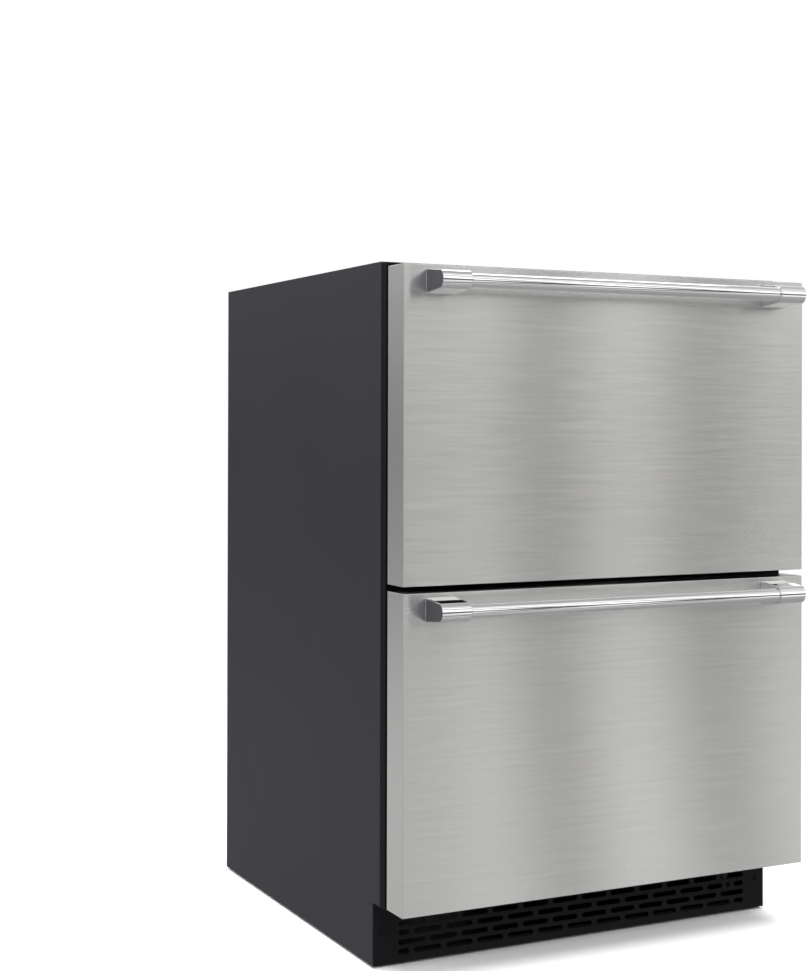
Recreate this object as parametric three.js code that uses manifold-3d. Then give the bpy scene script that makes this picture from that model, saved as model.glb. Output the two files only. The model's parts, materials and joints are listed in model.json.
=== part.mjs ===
// Under-counter fridge with two pull-out drawers.
// Millimetres, +Z up, front towards -Y. The origin is on the floor, under the middle of the overall box.
import * as THREE from "three";
import { mergeVertices } from "three/addons/utils/BufferGeometryUtils.js";
import Module from "manifold-3d";

const wasm = await Module();
wasm.setup();

// ---------- Driving dimensions ----------
const WIDTH = 594.4; // across the side panels
const DEPTH = 594.4; // drawer face to rear panel
const HEIGHT = 863.6; // floor to top panel
const HANDLE_REACH = 44.1; // drawer face to the front of the handle
const GAP = 0.3; // between pieces that touch on the real object
const SHEET = 1.2; // folded sheet steel
const HALF = WIDTH / 2;

// Depths below are measured back from the drawer face.
const FRONT_THICK = 42; // drawer front
const SEAL_GAP = 5.5; // drawer front to front frame
const FRAME_THICK = 14.5; // black front frame
const FRAME_FRONT = FRONT_THICK + SEAL_GAP;
const CABINET_FRONT = FRAME_FRONT + FRAME_THICK;
const NOTCH_DEPTH = 18.5; // how far the toe kick stands back from the cabinet front
const KICK_FRONT = CABINET_FRONT + NOTCH_DEPTH;
const KICK_THICK = 1.5;
const NOTCH_FRONT = KICK_FRONT + KICK_THICK + GAP; // side panel behind the toe kick
const REAR_INSET = 4; // rear sheets stand in from the rear edges of the side panels
const REAR_FACE = DEPTH - REAR_INSET;
const REAR_SHEET_FRONT = REAR_FACE - SHEET;
const INSIDE_REAR = REAR_SHEET_FRONT - GAP;
const PANEL_SEAM = 1; // between the rear panel and the machine bay's cover
const OVERCUT = 1; // how far a cutting tool runs past the face that it opens

// Heights above the floor.
const SHELL_BOTTOM = 3;
const KICK_TOP = 80.7;
const FRAME_TOP = 861;
const LOWER_FRONT_BOTTOM = 82.2;
const UPPER_FRONT_BOTTOM = 473.5;
const DRAWER_FRONT_HEIGHT = 383;
const BASE_BOTTOM = 12;
const BASE_THICK = 2;
const BASE_TOP = BASE_BOTTOM + BASE_THICK;
const BULKHEAD_BOTTOM = 81;
const SHELL_TOP_INSIDE = HEIGHT - SHEET - GAP;

// Walls, from outside in.
const HEM_THICK = 3; // folded edge of a side panel
const HEM_WIDTH = 12;
const HALF_BETWEEN_HEMS = HALF - HEM_THICK - GAP;
const HALF_BETWEEN_SHEETS = HALF - SHEET - GAP;
const LINER_THICK = 2;
const LINER_HALF = 255.2; // inside of the liner
const LINER_FLOOR = 127;
const LINER_CEILING = 811;
const LINER_REAR = 547;
const STEP_FRONT = 355; // the liner steps over the machine bay
const STEP_TOP = 302;
const BAY_FRONT = 394;
const BAY_CEILING = 263;

// Windows in the front frame.
const WINDOW_MID_LOW = 439;
const WINDOW_MID_HIGH = 500;
const MULLION_DEPTH = 48;

// Seal on the back of each drawer front.
const SEAL_INSET = 7;
const SEAL_WIDTH = 16;

// Bar handle.
const HANDLE_DROP = 20; // drawer top to handle axis
const BAR_RADIUS = 8.75;
const BAR_AXIS = -33.4;
const BRACKET_INNER = 228.5;
const BRACKET_OUTER = 267.5;
const SOCKET_DEPTH = 12;
const HANDLE_SCREW_X = 248;
const HANDLE_SCREW_RADIUS = 2.5;
const HANDLE_SCREW_REACH = 14; // into the bracket

// Ball-bearing slides, three members a side.
const SLIDE_LENGTH = 430;
const SLIDE_FRONT = 66;
const SLIDE_WIDTH = 12.7;

// Bins.
const BIN_HALF = LINER_HALF - SLIDE_WIDTH - 0.6;
const BIN_FRONT = 54.6;
const BIN_REAR = 478;
const BIN_WALL = 2;
const BIN_FLOOR = 2.5;
const BIN_CORNER = 14;
const RIM_WIDTH = 6;
const RIM_THICK = 3;

const LOWER = {
  name: "lower",
  bottom: LOWER_FRONT_BOTTOM,
  windowLow: LINER_FLOOR,
  windowHigh: WINDOW_MID_LOW,
  binBottom: 137,
  binTop: 382,
  slideHeight: 345,
  // The bin's floor steps up where the liner does.
  stepDepth: STEP_FRONT - 10,
  stepHeight: STEP_TOP + 10,
};
const UPPER = {
  name: "upper",
  bottom: UPPER_FRONT_BOTTOM,
  windowLow: WINDOW_MID_HIGH,
  windowHigh: LINER_CEILING,
  binBottom: 512,
  binTop: 745,
  slideHeight: 700,
  stepDepth: BIN_REAR,
  stepHeight: 512,
};

// ---------- Materials ----------
function finish(color, roughness, metalness) {
  return new THREE.MeshStandardMaterial({ color, roughness, metalness });
}
const BRUSHED = finish(0xb4b4b2, 0.35, 1);
const CHROME = finish(0xd8d8da, 0.08, 1);
const DARK_PAINT = finish(0x444348, 0.45, 0.1);
const BLACK_PAINT = finish(0x17181b, 0.5, 0.1);
const BLACK_PLASTIC = finish(0x0c0c0e, 0.55, 0);
const ZINC = finish(0xa9adb0, 0.45, 0.9);
const LINER_PLASTIC = finish(0xe8eaea, 0.3, 0);
const FOAM = finish(0xe6d9a8, 0.9, 0);
const RUBBER = finish(0x161617, 0.7, 0);
const FINS = finish(0xc3c6c9, 0.5, 0.9);

// ---------- Geometry helpers ----------
function box([x0, x1], [y0, y1], [z0, z1]) {
  const geometry = new THREE.BoxGeometry(x1 - x0, y1 - y0, z1 - z0);
  return geometry.translate((x0 + x1) / 2, (y0 + y1) / 2, (z0 + z1) / 2);
}

function shapeOf(points) {
  return new THREE.Shape(points.map(([a, b]) => new THREE.Vector2(a, b)));
}

function extrude(shape, length, curveSegments = 8) {
  return new THREE.ExtrudeGeometry(shape, { depth: length, bevelEnabled: false, curveSegments });
}

// A (y, z) outline carried along X.
function prismX(shape, [x0, x1]) {
  const axes = new THREE.Matrix4().makeBasis(
    new THREE.Vector3(0, 1, 0),
    new THREE.Vector3(0, 0, 1),
    new THREE.Vector3(1, 0, 0),
  );
  return extrude(shape, x1 - x0).applyMatrix4(axes).translate(x0, 0, 0);
}

// An (x, z) outline carried along Y.
function prismY(shape, [y0, y1], curveSegments) {
  return extrude(shape, y1 - y0, curveSegments).rotateX(Math.PI / 2).translate(0, y1, 0);
}

// An (x, y) outline carried along Z.
function prismZ(shape, [z0, z1], curveSegments) {
  return extrude(shape, z1 - z0, curveSegments).translate(0, 0, z0);
}

function cylinderX(radius, [x0, x1], y, z, sides = 24) {
  const geometry = new THREE.CylinderGeometry(radius, radius, x1 - x0, sides);
  return geometry.rotateZ(Math.PI / 2).translate((x0 + x1) / 2, y, z);
}

function cylinderY(radius, [y0, y1], x, z, sides = 24) {
  const geometry = new THREE.CylinderGeometry(radius, radius, y1 - y0, sides);
  return geometry.translate(x, (y0 + y1) / 2, z);
}

function cylinderZ(radius, [z0, z1], x, y, sides = 24) {
  const geometry = new THREE.CylinderGeometry(radius, radius, z1 - z0, sides);
  return geometry.rotateX(Math.PI / 2).translate(x, y, (z0 + z1) / 2);
}

function rectangle(x0, x1, z0, z1) {
  return shapeOf([
    [x0, z0],
    [x1, z0],
    [x1, z1],
    [x0, z1],
  ]);
}

function roundedRect(x0, x1, y0, y1, radius) {
  const shape = new THREE.Shape();
  shape.moveTo(x0 + radius, y0);
  shape.lineTo(x1 - radius, y0);
  shape.absarc(x1 - radius, y0 + radius, radius, -Math.PI / 2, 0);
  shape.lineTo(x1, y1 - radius);
  shape.absarc(x1 - radius, y1 - radius, radius, 0, Math.PI / 2);
  shape.lineTo(x0 + radius, y1);
  shape.absarc(x0 + radius, y1 - radius, radius, Math.PI / 2, Math.PI);
  shape.lineTo(x0, y0 + radius);
  shape.absarc(x0 + radius, y0 + radius, radius, Math.PI, 1.5 * Math.PI);
  return shape;
}

// A round-ended slot, length along the first axis, as an outline or a hole.
function slotPath(centreX, centreY, length, height) {
  const radius = height / 2;
  const reach = length / 2 - radius;
  const path = new THREE.Path();
  path.absarc(centreX + reach, centreY, radius, -Math.PI / 2, Math.PI / 2);
  path.absarc(centreX - reach, centreY, radius, Math.PI / 2, 1.5 * Math.PI);
  path.closePath();
  return path;
}

// Coordinates are rounded so that faces meant to be flush are exactly flush.
function solid(geometry) {
  const ROUND_TO = 1000;
  const bare = geometry.clone();
  const { array } = bare.attributes.position;
  array.forEach((value, index) => {
    array[index] = Math.round(value * ROUND_TO) / ROUND_TO;
  });
  bare.deleteAttribute("normal");
  bare.deleteAttribute("uv");
  const merged = mergeVertices(bare, 1e-3);
  const vertProperties = merged.attributes.position.array;
  const triVerts = new Uint32Array(merged.index.array);
  return new wasm.Manifold(new wasm.Mesh({ numProp: 3, vertProperties, triVerts }));
}

function geometryOf(manifold) {
  const mesh = manifold.getMesh();
  const geometry = new THREE.BufferGeometry();
  geometry.setAttribute("position", new THREE.BufferAttribute(mesh.vertProperties, 3));
  geometry.setIndex(new THREE.BufferAttribute(mesh.triVerts, 1));
  geometry.computeVertexNormals();
  return geometry;
}

function join(first, ...others) {
  return geometryOf(others.reduce((sum, part) => sum.add(solid(part)), solid(first)));
}

function cut(first, ...tools) {
  return geometryOf(tools.reduce((rest, tool) => rest.subtract(solid(tool)), solid(first)));
}

function common(first, second) {
  return geometryOf(solid(first).intersect(solid(second)));
}

function piece(name, geometry, material) {
  const mesh = new THREE.Mesh(geometry, material);
  mesh.name = name;
  return mesh;
}

const unit = new THREE.Group();
// Inside this group y is 0 on the drawer face.
const fridge = new THREE.Group();
fridge.position.y = HANDLE_REACH - (DEPTH + HANDLE_REACH) / 2;
unit.add(fridge);

// ---------- Outer shell ----------
function sidePanel(side) {
  const outline = shapeOf([
    [CABINET_FRONT, KICK_TOP],
    [NOTCH_FRONT, KICK_TOP],
    [NOTCH_FRONT, SHELL_BOTTOM],
    [DEPTH, SHELL_BOTTOM],
    [DEPTH, HEIGHT],
    [CABINET_FRONT, HEIGHT],
  ]);
  const hemX = [HALF - HEM_THICK, HALF - SHEET / 2];
  const geometry = join(
    prismX(outline, [HALF - SHEET, HALF]),
    box(hemX, [CABINET_FRONT, CABINET_FRONT + HEM_WIDTH], [KICK_TOP, HEIGHT]),
    box(hemX, [NOTCH_FRONT, NOTCH_FRONT + HEM_WIDTH], [SHELL_BOTTOM, KICK_TOP + SHEET]),
    box(hemX, [DEPTH - HEM_WIDTH, DEPTH], [SHELL_BOTTOM, HEIGHT]),
  );
  const name = side > 0 ? "side_panel_right" : "side_panel_left";
  const mesh = piece(name, geometry, DARK_PAINT);
  mesh.scale.x = side;
  return mesh;
}

// Narrower where it meets the folded edges of the side panels.
function topPanel() {
  const frontHemEnd = CABINET_FRONT + HEM_WIDTH + GAP;
  const rearHemStart = DEPTH - HEM_WIDTH - GAP;
  const half = [
    [HALF_BETWEEN_HEMS, CABINET_FRONT],
    [HALF_BETWEEN_HEMS, frontHemEnd],
    [HALF_BETWEEN_SHEETS, frontHemEnd],
    [HALF_BETWEEN_SHEETS, rearHemStart],
    [HALF_BETWEEN_HEMS, rearHemStart],
    [HALF_BETWEEN_HEMS, DEPTH],
  ];
  const mirrored = half.map(([x, y]) => [-x, y]).reverse();
  const outline = shapeOf([...half, ...mirrored]);
  return piece("top_panel", prismZ(outline, [HEIGHT - SHEET, HEIGHT]), DARK_PAINT);
}

function rearPanel() {
  const x = [-HALF_BETWEEN_HEMS, HALF_BETWEEN_HEMS];
  const z = [BAY_CEILING + PANEL_SEAM, SHELL_TOP_INSIDE];
  return piece("rear_panel", box(x, [REAR_SHEET_FRONT, REAR_FACE], z), ZINC);
}

const INLET = { x: 205, z: 62, width: 48, height: 27 };

// Sheet cover over the machine bay, with two banks of cooling slots and a cut-out for the inlet.
function compressorCover() {
  const COVER_BOTTOM = 16;
  const COVER_TOP = BAY_CEILING - PANEL_SEAM / 2;
  const BANK_CENTRES = [-150, 60];
  const SLOT_LENGTH = 150;
  const SLOT_HEIGHT = 6;
  const SLOT_PITCH = 16;
  const SLOTS = 7;
  const FIRST_SLOT = 110;
  const face = rectangle(-HALF_BETWEEN_HEMS, HALF_BETWEEN_HEMS, COVER_BOTTOM, COVER_TOP);
  for (const centre of BANK_CENTRES) {
    for (let row = 0; row < SLOTS; row += 1) {
      face.holes.push(slotPath(centre, FIRST_SLOT + row * SLOT_PITCH, SLOT_LENGTH, SLOT_HEIGHT));
    }
  }
  const inletHalf = INLET.width / 2 + GAP;
  const inletRise = INLET.height / 2 + GAP;
  face.holes.push(
    rectangle(INLET.x - inletHalf, INLET.x + inletHalf, INLET.z - inletRise, INLET.z + inletRise),
  );
  return piece("compressor_cover", prismY(face, [REAR_SHEET_FRONT, REAR_FACE], 3), ZINC);
}

// Socket for a detachable mains lead, fixed behind the cover with its mouth flush with it.
function powerInlet() {
  const FLANGE = 6;
  const FLANGE_THICK = 3;
  const BODY_DEPTH = 28;
  const WELL_DEPTH = 16;
  const WALL_X = 5;
  const WALL_Z = 4;
  const x = [INLET.x - INLET.width / 2, INLET.x + INLET.width / 2];
  const z = [INLET.z - INLET.height / 2, INLET.z + INLET.height / 2];
  const flange = box(
    [x[0] - FLANGE, x[1] + FLANGE],
    [INSIDE_REAR - FLANGE_THICK, INSIDE_REAR],
    [z[0] - FLANGE, z[1] + FLANGE],
  );
  const body = box(x, [INSIDE_REAR - BODY_DEPTH, REAR_FACE], z);
  const well = box(
    [x[0] + WALL_X, x[1] - WALL_X],
    [REAR_FACE - WELL_DEPTH, REAR_FACE + OVERCUT],
    [z[0] + WALL_Z, z[1] - WALL_Z],
  );
  return piece("power_inlet", cut(join(flange, body), well), BLACK_PLASTIC);
}

// Folded sheet under the foam, stepped over the machine bay.
function machineBayBulkhead() {
  const front = CABINET_FRONT + GAP;
  const outline = shapeOf([
    [front, BULKHEAD_BOTTOM],
    [BAY_FRONT + SHEET, BULKHEAD_BOTTOM],
    [BAY_FRONT + SHEET, BAY_CEILING - SHEET],
    [INSIDE_REAR, BAY_CEILING - SHEET],
    [INSIDE_REAR, BAY_CEILING],
    [BAY_FRONT, BAY_CEILING],
    [BAY_FRONT, BULKHEAD_BOTTOM + SHEET],
    [front, BULKHEAD_BOTTOM + SHEET],
  ]);
  return piece("machine_bay_bulkhead", prismX(outline, [-HALF_BETWEEN_HEMS, HALF_BETWEEN_HEMS]), ZINC);
}

// ---------- Base, toe kick and feet ----------
const FOOT_X = 262;
const FOOT_FRONT_Y = KICK_FRONT + 40;
const FOOT_REAR_Y = DEPTH - 45;
const STEM_RADIUS = 5;
const STEM_TOP = 56;
const PAD_RADIUS = 19;

function basePan() {
  const FLANGE_TOP = 40;
  const NUT_RADIUS = 11;
  const NUT_TOP = BASE_TOP + 6;
  const y = [KICK_FRONT + 2 * KICK_THICK, INSIDE_REAR];
  const plate = box([-HALF_BETWEEN_HEMS, HALF_BETWEEN_HEMS], y, [BASE_BOTTOM, BASE_TOP]);
  const flanges = [-1, 1].map((side) => {
    const outer = side * HALF_BETWEEN_HEMS;
    const inner = side * (HALF_BETWEEN_HEMS - BASE_THICK);
    return box([Math.min(outer, inner), Math.max(outer, inner)], y, [BASE_BOTTOM, FLANGE_TOP]);
  });
  const weldNuts = [];
  const holes = [];
  for (const x of [-FOOT_X, FOOT_X]) {
    for (const footY of [FOOT_FRONT_Y, FOOT_REAR_Y]) {
      weldNuts.push(cylinderZ(NUT_RADIUS, [BASE_BOTTOM, NUT_TOP], x, footY, 6));
      holes.push(cylinderZ(STEM_RADIUS + GAP, [0, NUT_TOP + OVERCUT], x, footY, 20));
    }
  }
  return piece("base_pan", cut(join(plate, ...flanges, ...weldNuts), ...holes), BLACK_PAINT);
}

// A levelling foot: a round pad on a threaded stem.
function foot(name, x, y) {
  const EDGE = 2;
  const RIM_TOP = 5;
  const PAD_TOP = 9;
  const NECK_RADIUS = 11;
  const TIP = 1;
  const profile = [
    [0, 0],
    [PAD_RADIUS - EDGE, 0],
    [PAD_RADIUS, EDGE],
    [PAD_RADIUS, RIM_TOP],
    [NECK_RADIUS, PAD_TOP],
    [STEM_RADIUS, PAD_TOP],
    [STEM_RADIUS, STEM_TOP - TIP],
    [STEM_RADIUS - TIP, STEM_TOP],
    [0, STEM_TOP],
  ].map(([radius, height]) => new THREE.Vector2(radius, height));
  const mesh = piece(name, new THREE.LatheGeometry(profile, 20).rotateX(Math.PI / 2), ZINC);
  mesh.position.set(x, y, 0);
  return mesh;
}

const KICK_SCREW = { x: 284.6, z: 43, radius: 2 };

// Toe kick: a slotted plate that lets air into the machine bay.
function kickPlate() {
  const RETURN_DEPTH = 16; // top edge folds back
  const TOP = KICK_TOP - GAP;
  const SLOT_FIELD_HALF = 263;
  const COLUMNS = 12;
  const SLOT_GAP = 6.6;
  const SLOT_HEIGHT = 6.6;
  const ROWS = 5;
  const ROW_PITCH = 11.75;
  const FIRST_ROW = 16;
  const PITCH = (2 * SLOT_FIELD_HALF + SLOT_GAP) / COLUMNS;
  const LONG = PITCH - SLOT_GAP;
  const SHORT = PITCH / 2 - SLOT_GAP;
  const face = rectangle(-HALF, HALF, SHELL_BOTTOM, TOP);
  // Rows alternate: full rows of long slots, and rows offset by half a slot with a short one at each end.
  for (let row = 0; row < ROWS; row += 1) {
    const z = FIRST_ROW + row * ROW_PITCH;
    const offset = row % 2 === 0;
    const count = offset ? COLUMNS - 1 : COLUMNS;
    const firstCentre = -((count - 1) / 2) * PITCH;
    for (let column = 0; column < count; column += 1) {
      face.holes.push(slotPath(firstCentre + column * PITCH, z, LONG, SLOT_HEIGHT));
    }
    if (offset) {
      const centre = SLOT_FIELD_HALF - SHORT / 2;
      face.holes.push(slotPath(-centre, z, SHORT, SLOT_HEIGHT));
      face.holes.push(slotPath(centre, z, SHORT, SLOT_HEIGHT));
    }
  }
  const plate = prismY(face, [KICK_FRONT, KICK_FRONT + KICK_THICK], 2);
  const fold = box(
    [-HALF_BETWEEN_HEMS, HALF_BETWEEN_HEMS],
    [KICK_FRONT, KICK_FRONT + RETURN_DEPTH],
    [TOP - KICK_THICK, TOP],
  );
  const holeY = [KICK_FRONT - OVERCUT, KICK_FRONT + KICK_THICK + OVERCUT];
  const screwHoles = [-1, 1].map((side) =>
    cylinderY(KICK_SCREW.radius + GAP, holeY, side * KICK_SCREW.x, KICK_SCREW.z, 12),
  );
  return piece("kick_plate", cut(join(plate, fold), ...screwHoles), BLACK_PAINT);
}

function kickScrew(side) {
  const HEAD_RADIUS = 4.2;
  const CROWN_RADIUS = 2.5;
  const HEAD_HEIGHT = 2;
  const SHANK_LENGTH = 10;
  const profile = [
    [0, 0],
    [CROWN_RADIUS, 0],
    [HEAD_RADIUS, HEAD_HEIGHT],
    [KICK_SCREW.radius, HEAD_HEIGHT],
    [KICK_SCREW.radius, HEAD_HEIGHT + SHANK_LENGTH],
    [0, HEAD_HEIGHT + SHANK_LENGTH],
  ].map(([radius, height]) => new THREE.Vector2(radius, height));
  const name = side > 0 ? "kick_screw_right" : "kick_screw_left";
  const mesh = piece(name, new THREE.LatheGeometry(profile, 12), BLACK_PAINT);
  mesh.position.set(side * KICK_SCREW.x, KICK_FRONT - HEAD_HEIGHT - GAP, KICK_SCREW.z);
  return mesh;
}

// ---------- Front frame, liner, foam and mullion ----------
function frontFrame() {
  const face = rectangle(-HALF, HALF, KICK_TOP, FRAME_TOP);
  for (const drawer of [LOWER, UPPER]) {
    face.holes.push(rectangle(-LINER_HALF, LINER_HALF, drawer.windowLow, drawer.windowHigh));
  }
  return piece("front_frame", prismY(face, [FRAME_FRONT, CABINET_FRONT - GAP]), BLACK_PLASTIC);
}

// The liner's side outline, grown outwards by a margin. The front stays open.
function linerOutline(margin, front) {
  return shapeOf([
    [front, LINER_FLOOR - margin],
    [STEP_FRONT + margin, LINER_FLOOR - margin],
    [STEP_FRONT + margin, STEP_TOP - margin],
    [LINER_REAR + margin, STEP_TOP - margin],
    [LINER_REAR + margin, LINER_CEILING + margin],
    [front, LINER_CEILING + margin],
  ]);
}

function liner() {
  const outerHalf = LINER_HALF + LINER_THICK;
  const front = CABINET_FRONT + GAP;
  const outer = prismX(linerOutline(LINER_THICK, front), [-outerHalf, outerHalf]);
  const inner = prismX(linerOutline(0, front - OVERCUT), [-LINER_HALF, LINER_HALF]);
  return piece("liner", cut(outer, inner), LINER_PLASTIC);
}

function cabinetInsulation() {
  const front = CABINET_FRONT + GAP;
  const margin = LINER_THICK + GAP;
  const halfHole = LINER_HALF + margin;
  const block = box(
    [-HALF_BETWEEN_HEMS, HALF_BETWEEN_HEMS],
    [front, INSIDE_REAR],
    [BULKHEAD_BOTTOM + SHEET + GAP, SHELL_TOP_INSIDE],
  );
  const cavity = prismX(linerOutline(margin, front - OVERCUT), [-halfHole, halfHole]);
  const bay = box([-HALF, HALF], [BAY_FRONT - GAP, DEPTH], [0, BAY_CEILING + GAP]);
  return piece("cabinet_insulation", cut(block, cavity, bay), FOAM);
}

// Cross rail behind the front frame, between the two drawers.
function mullion() {
  const RECESS = 2; // from the edges of the two windows
  const x = [-LINER_HALF + GAP, LINER_HALF - GAP];
  const y = [CABINET_FRONT + GAP, CABINET_FRONT + GAP + MULLION_DEPTH];
  const z = [WINDOW_MID_LOW + RECESS, WINDOW_MID_HIGH - RECESS];
  return piece("mullion", box(x, y, z), BLACK_PLASTIC);
}

// Display and lamp housing under the liner's ceiling, with a sloping face.
function controlPanel() {
  const HALF_LENGTH = 95;
  const LIP = 6;
  const DROP = 20;
  const top = LINER_CEILING - GAP;
  const front = CABINET_FRONT + 8;
  const faceRear = front + 12;
  const rearLow = front + 102;
  const rearHigh = front + 108;
  const outline = shapeOf([
    [rearHigh, top],
    [rearLow, top - DROP],
    [faceRear, top - DROP],
    [front, top - LIP],
    [front, top],
  ]);
  return piece("control_panel", prismX(outline, [-HALF_LENGTH, HALF_LENGTH]), BLACK_PLASTIC);
}

// ---------- Machine bay ----------
const COMPRESSOR = { x: -165, y: 495, radius: 66, top: 186 };

// A sealed can with a domed lid, on a mounting plate with four rubber grommets.
function compressor() {
  const { radius, top } = COMPRESSOR;
  const GROMMET = { x: 74, y: 58, radius: 10, top: BASE_TOP + 8 };
  const PLATE = { halfX: 88, halfY: 72, corner: 14, top: GROMMET.top + 3 };
  const CAN_EDGE = 10;
  const CAN_EDGE_RISE = 15;
  const DOME_HEIGHT = 32;
  const DOME_STEPS = 6;
  const TERMINALS = { reach: 26, half: 26, low: 70, high: 126 };
  const WELD = 12; // how far the terminal box runs into the can
  const canBottom = PLATE.top - 1;
  const canProfile = [
    new THREE.Vector2(0, canBottom),
    new THREE.Vector2(radius - CAN_EDGE, canBottom),
    new THREE.Vector2(radius, canBottom + CAN_EDGE_RISE),
  ];
  for (let step = 0; step <= DOME_STEPS; step += 1) {
    const angle = (step / DOME_STEPS) * (Math.PI / 2);
    const r = step === DOME_STEPS ? 0 : radius * Math.cos(angle);
    canProfile.push(new THREE.Vector2(r, top - DOME_HEIGHT + DOME_HEIGHT * Math.sin(angle)));
  }
  const can = new THREE.LatheGeometry(canProfile, 28).rotateX(Math.PI / 2);
  const plateShape = roundedRect(-PLATE.halfX, PLATE.halfX, -PLATE.halfY, PLATE.halfY, PLATE.corner);
  const plate = prismZ(plateShape, [GROMMET.top, PLATE.top], 4);
  const grommets = [];
  for (const x of [-GROMMET.x, GROMMET.x]) {
    for (const y of [-GROMMET.y, GROMMET.y]) {
      grommets.push(cylinderZ(GROMMET.radius, [BASE_TOP + GAP, GROMMET.top + 1], x, y, 12));
    }
  }
  const terminalBox = box(
    [radius - WELD, radius + TERMINALS.reach],
    [-TERMINALS.half, TERMINALS.half],
    [TERMINALS.low, TERMINALS.high],
  );
  const mesh = piece("compressor", join(can, plate, terminalBox, ...grommets), BLACK_PAINT);
  mesh.position.set(COMPRESSOR.x, COMPRESSOR.y, 0);
  return mesh;
}

// Tray that catches defrost water and lets the warm compressor dry it off.
function condensateTray() {
  const HALF_X = 90;
  const HALF_Y = 70;
  const CORNER = 12;
  const WALL = 2;
  const BOTTOM = COMPRESSOR.top + GAP;
  const TOP = BOTTOM + 24;
  const plan = (inset) =>
    roundedRect(-HALF_X + inset, HALF_X - inset, -HALF_Y + inset, HALF_Y - inset, CORNER - inset);
  const outer = prismZ(plan(0), [BOTTOM, TOP], 4);
  const inner = prismZ(plan(WALL), [BOTTOM + WALL, TOP + OVERCUT], 4);
  const mesh = piece("condensate_tray", cut(outer, inner), BLACK_PLASTIC);
  mesh.position.set(COMPRESSOR.x, COMPRESSOR.y, 0);
  return mesh;
}

// A finned coil block: a core with parallel fins standing across X.
function finBlock([x0, x1], [y0, y1], [z0, z1], finCount) {
  const CORE_INSET = 6;
  const FIN = 1.6;
  const core = box(
    [x0, x1],
    [y0 + CORE_INSET, y1 - CORE_INSET],
    [z0 + CORE_INSET, z1 - CORE_INSET],
  );
  const pitch = (x1 - x0 - FIN) / (finCount - 1);
  const fins = [];
  for (let index = 0; index < finCount; index += 1) {
    const x = x0 + index * pitch;
    fins.push(box([x, x + FIN], [y0, y1], [z0, z1]));
  }
  return join(core, ...fins);
}

const CONDENSER = { x: [30, 250], y: [402, 442], z: [22, 212], fins: 24 };

function condenserCoil() {
  const { x, y, z, fins } = CONDENSER;
  return piece("condenser_coil", finBlock(x, y, z, fins), FINS);
}

// Three spokes and a boss that hold a fan motor in a round opening.
function fanSpider(radius, y, bossDepth, bossRadius, thick) {
  const ARMS = 3;
  const ARM_HALF = 3;
  const ROOT = 2; // how far an arm runs into the edge of the opening
  const parts = [cylinderY(bossRadius, [y, y + bossDepth], 0, 0, 20)];
  for (let arm = 0; arm < ARMS; arm += 1) {
    const spoke = box([0, radius + ROOT], [y, y + thick], [-ARM_HALF, ARM_HALF]);
    parts.push(spoke.rotateY((arm * 2 * Math.PI) / ARMS + Math.PI / 2));
  }
  return parts;
}

// A rotor spinning about Y: a hub and pitched blades, centred on its own origin.
function fanRotor(hubRadius, tipRadius, depth, bladeCount) {
  const PITCH_ANGLE = 0.5;
  const BLADE_THICK = 1.6;
  const BLADE_ROOT = 3; // how far a blade runs into the hub
  const BLADE_HALF = depth * 0.75;
  const blades = [];
  for (let index = 0; index < bladeCount; index += 1) {
    const blade = box(
      [hubRadius - BLADE_ROOT, tipRadius],
      [-BLADE_THICK / 2, BLADE_THICK / 2],
      [-BLADE_HALF, BLADE_HALF],
    );
    blade.rotateX(PITCH_ANGLE);
    blade.rotateY((index * 2 * Math.PI) / bladeCount);
    blades.push(blade);
  }
  const halfDepth = depth / 2;
  const hub = cylinderY(hubRadius, [-halfDepth, halfDepth], 0, 0, 20);
  const tipLimit = cylinderY(tipRadius, [-halfDepth, halfDepth], 0, 0, 40);
  return common(join(hub, ...blades), tipLimit);
}

const CONDENSER_FAN = { x: 140, z: 117, hole: 78, tip: 73, hub: 24, depth: 16, blades: 5 };
const SHROUD_FRONT = CONDENSER.y[1] + 4;
const SHROUD_THICK = 20;
const CONDENSER_FAN_Y = SHROUD_FRONT + CONDENSER_FAN.depth / 2 + 1;

// A thick plate with the fan's round opening, on a ledge that stands on the base.
function condenserFanShroud() {
  const LEDGE_DEPTH = 30;
  const MOTOR = { length: 26, radius: 20 };
  const ARM_THICK = 4;
  const { hole, x, z } = CONDENSER_FAN;
  const ledgeTop = CONDENSER.z[0];
  const shroudRear = SHROUD_FRONT + SHROUD_THICK;
  const plate = box(CONDENSER.x, [SHROUD_FRONT, shroudRear], [ledgeTop - OVERCUT, CONDENSER.z[1]]);
  const ledge = box(CONDENSER.x, [SHROUD_FRONT, SHROUD_FRONT + LEDGE_DEPTH], [BASE_TOP + GAP, ledgeTop]);
  const opening = cylinderY(hole, [SHROUD_FRONT - OVERCUT, SHROUD_FRONT + LEDGE_DEPTH + OVERCUT], x, z, 40);
  const ring = cut(join(plate, ledge), opening);
  const spider = fanSpider(hole, shroudRear - ARM_THICK / 2, MOTOR.length, MOTOR.radius, ARM_THICK);
  const motorAndArms = spider.map((part) => part.translate(x, 0, z));
  return piece("condenser_fan_shroud", join(ring, ...motorAndArms), BLACK_PLASTIC);
}

function condenserFan() {
  const { hub, tip, depth, blades, x, z } = CONDENSER_FAN;
  const mesh = piece("condenser_fan", fanRotor(hub, tip, depth, blades), BLACK_PLASTIC);
  mesh.position.set(x, CONDENSER_FAN_Y, z);
  return mesh;
}

// ---------- Evaporator, behind its cover at the back of the liner ----------
const COVER = { half: 200, front: 488, thick: 2.5, low: 322, high: 790 };
const EVAPORATOR_FAN = { z: 705, hole: 56, tip: 51, hub: 17, depth: 14, blades: 5 };
const EVAPORATOR_MOTOR = { length: COVER.thick + 6, radius: 15 };
const EVAPORATOR_FAN_Y = COVER.front + EVAPORATOR_MOTOR.length + 1 + EVAPORATOR_FAN.depth / 2;

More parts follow.
